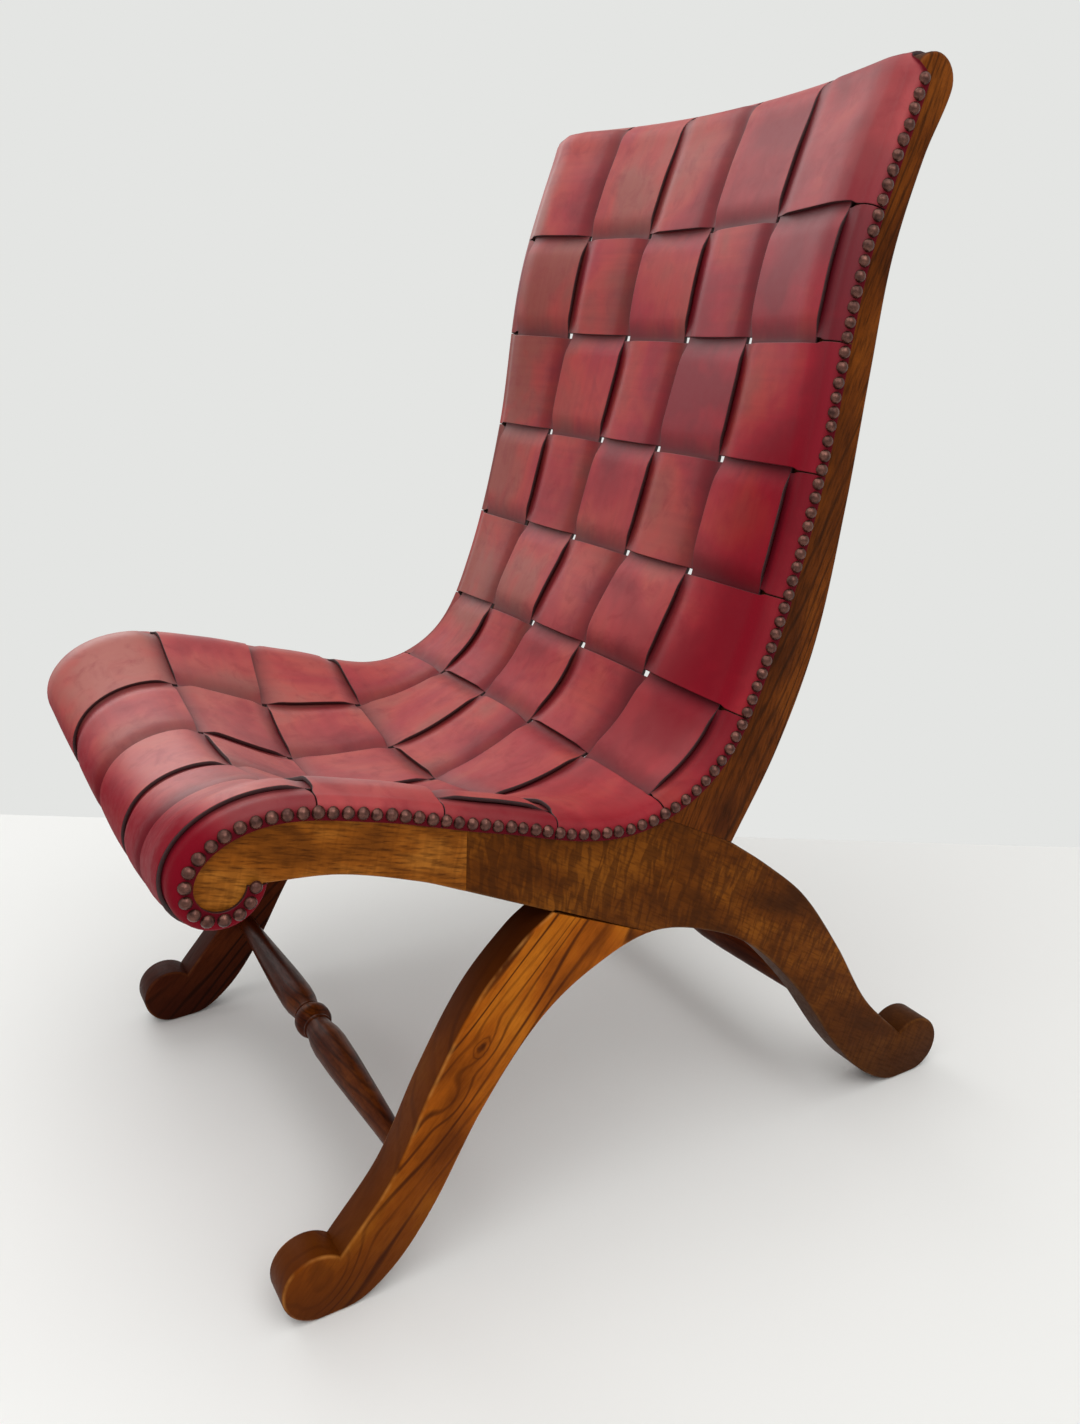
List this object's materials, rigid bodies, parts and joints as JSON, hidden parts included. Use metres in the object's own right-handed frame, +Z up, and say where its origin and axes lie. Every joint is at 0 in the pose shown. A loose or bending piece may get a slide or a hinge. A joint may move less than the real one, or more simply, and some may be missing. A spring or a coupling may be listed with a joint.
{
  "type": "slipper chair",
  "caption": "Low slipper chair in the Spanish manner, with a hanging seat and back woven from red leather straps between sawn wooden side frames with scroll feet",
  "frame": {"origin": "on the floor, under the middle of the chair's outline seen from above", "axes": "+Z up; the sitter faces -Y, and the sitter's left is +X"},
  "size_m": [0.5066, 0.6969, 0.8721],
  "materials": {
    "dark_wood": "dark walnut brown, waxed, worn edges",
    "light_wood": "orange brown with a strong figure, waxed, worn edges",
    "plain_wood": "pale brown, plain, hidden by the leather or inside the joints",
    "red_leather": "patchy red to burgundy, polished saddle leather"
  },
  "bodies": {
    "root": {"left_seat_rail": "light_wood", "left_rear_leg": "dark_wood", "left_back_stile": "dark_wood", "left_front_leg": "light_wood", "left_stile_dowel_1": "plain_wood", "left_stile_dowel_2": "plain_wood", "left_rail_dowel_1": "plain_wood", "left_rail_dowel_2": "plain_wood", "left_leg_dowel_1": "plain_wood", "left_leg_dowel_2": "plain_wood", "right_seat_rail": "light_wood", "right_rear_leg": "dark_wood", "right_back_stile": "dark_wood", "right_front_leg": "light_wood", "right_stile_dowel_1": "plain_wood", "right_stile_dowel_2": "plain_wood", "right_rail_dowel_1": "plain_wood", "right_rail_dowel_2": "plain_wood", "right_leg_dowel_1": "plain_wood", "right_leg_dowel_2": "plain_wood", "front_stretcher": "dark_wood", "rear_stretcher": "dark_wood", "crest_rail": "plain_wood", "front_roll_rail": "plain_wood", "long_strap_1": "red_leather", "long_strap_2": "red_leather", "long_strap_3": "red_leather", "long_strap_4": "red_leather", "long_strap_5": "red_leather", "cross_strap_01": "red_leather", "cross_strap_02": "red_leather", "cross_strap_03": "red_leather", "cross_strap_04": "red_leather", "cross_strap_05": "red_leather", "cross_strap_06": "red_leather", "cross_strap_07": "red_leather", "cross_strap_08": "red_leather", "cross_strap_09": "red_leather", "cross_strap_10": "red_leather"}
  },
  "joints": []
}
